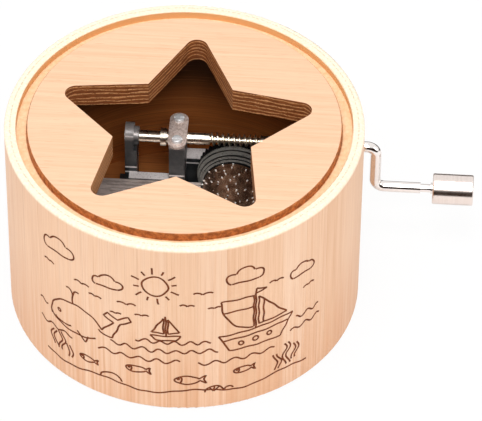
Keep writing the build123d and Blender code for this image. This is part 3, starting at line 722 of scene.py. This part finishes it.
# ------------------------------------------------------------------ studio
CAMERA_PLACE_MM = (46.26, -617.98, 627.58)
CAMERA_TURN = 3.1             # degrees from straight in front, towards the crank
CAMERA_DOWN = 44.29           # degrees below the horizon
CAMERA_ROLL = 0.751           # degrees round its own axis
SENSOR_MM = 36.0
LENS_MM = 285.39
FLOOR_SIZE = 3.0
FLOOR_DROP_MM = 0.03          # below the case's flat underside
FLOOR_COLOUR = (0.88, 0.88, 0.88, 1.0)
FLOOR_GLOW = 0.92             # share of plain white that the camera sees
FLOOR_BROWN_MM = (50.0, 85.0)             # metal sees the floor turn brown between these, in y
WHITE = (1.0, 1.0, 1.0, 1.0)
BROWN = (0.03, 0.016, 0.01, 1.0)
AMBIENT = 0.6                 # strength of the world's light on matt surfaces
LAMP_AIM = (0.0, 0.0, 0.025)
LAMPS = (("key_lamp", (-0.3, -0.35, 1.0), 0.5, 1.8),      # name, place, size and watts
         ("top_lamp", (0.0, 0.0, 1.1), 0.35, 3.0),
         ("front_lamp", (0.1, -0.68, 0.88), 0.35, 3.6),
         ("left_lamp", (-0.85, -0.15, 0.4), 0.5, 1.0),
         ("right_lamp", (0.85, -0.25, 0.4), 0.5, 1.2))


def make_camera():
    """Camera of the photograph, turned by its heading, its fall and its slight roll."""
    camera = bpy.data.objects.new("camera", bpy.data.cameras.new("camera"))
    bpy.context.scene.collection.objects.link(camera)
    camera.data.sensor_width = SENSOR_MM
    camera.data.lens = LENS_MM
    camera.data.clip_start = 0.05
    heading = Matrix.Rotation(np.radians(CAMERA_TURN), 4, "Z")
    fall = Matrix.Rotation(np.radians(90.0 - CAMERA_DOWN), 4, "X")
    roll = Matrix.Rotation(np.radians(CAMERA_ROLL), 4, "Z")
    place = Matrix.Translation([c * MM for c in CAMERA_PLACE_MM])
    camera.matrix_world = place @ heading @ fall @ roll
    bpy.context.scene.camera = camera


def make_lamp(name, place, size, watts):
    """A square soft lamp that faces the box."""
    lamp = bpy.data.objects.new(name, bpy.data.lights.new(name, "AREA"))
    bpy.context.scene.collection.objects.link(lamp)
    lamp.data.size = size
    lamp.data.energy = watts
    lamp.location = place
    lamp.rotation_mode = "QUATERNION"
    lamp.rotation_quaternion = (Vector(LAMP_AIM) - Vector(place)).to_track_quat("-Z", "Y")


def make_floor():
    """Pale floor: it takes the shadow and looks white to the camera. Metal sees it brown in
    front of the box and behind it."""
    side, low = FLOOR_SIZE / 2, -FLOOR_DROP_MM * MM
    mesh = bpy.data.meshes.new("floor")
    mesh.from_pydata([(-side, -side, low), (side, -side, low), (side, side, low),
                      (-side, side, low)], [], [(0, 1, 2, 3)])
    floor = bpy.data.objects.new("floor", mesh)
    bpy.context.scene.collection.objects.link(floor)
    f = Finish("pale_floor", Roughness=1.0, Specular_IOR_Level=0.0)
    camera_ray, glossy_ray = f.rays()
    far = f.ramp(f.size(f.y), *FLOOR_BROWN_MM) * glossy_ray
    f.feed(Base_Color=f.mix(far, FLOOR_COLOUR, BROWN))
    glow = f.value("ShaderNodeEmission")
    blend = f.value("ShaderNodeMixShader", None,
                    {0: camera_ray * FLOOR_GLOW, 1: f.surface, 2: glow})
    plug(f.tree, blend, f.output.inputs["Surface"])
    mesh.materials.append(f.material)


def make_world():
    """Even soft light, white to the camera. Metal sees a brown band, high in front of the box
    and low behind it. The numbers are parts of a direction's length."""
    world = bpy.data.worlds.new("studio")
    bpy.context.scene.world = world
    world.use_nodes = True
    w = Tree(world.node_tree)
    _, forward, height = w.parts(w.value("ShaderNodeTexCoord", out="Generated"))
    camera_ray, glossy_ray = w.rays()
    in_front = (w.ramp(forward, -0.35, -0.6, rise="LINEAR")
                * w.ramp(height, 0.64, 0.42, rise="LINEAR"))
    behind = w.ramp(forward, 0.6, 0.9, rise="LINEAR") * w.ramp(height, 0.14, 0.05, rise="LINEAR")
    colour = w.mix((in_front + behind) * glossy_ray, WHITE, BROWN)
    seen = maths(w.tree, "MAXIMUM", camera_ray, glossy_ray)
    background = w.value("ShaderNodeBackground", None,
                         {"Color": colour, "Strength": AMBIENT + seen * (1.0 - AMBIENT)})
    w.node("ShaderNodeOutputWorld", None, {"Surface": background})


make_camera()
make_floor()
make_world()
for lamp in LAMPS:
    make_lamp(*lamp)
bpy.context.scene.view_settings.view_transform = "Standard"
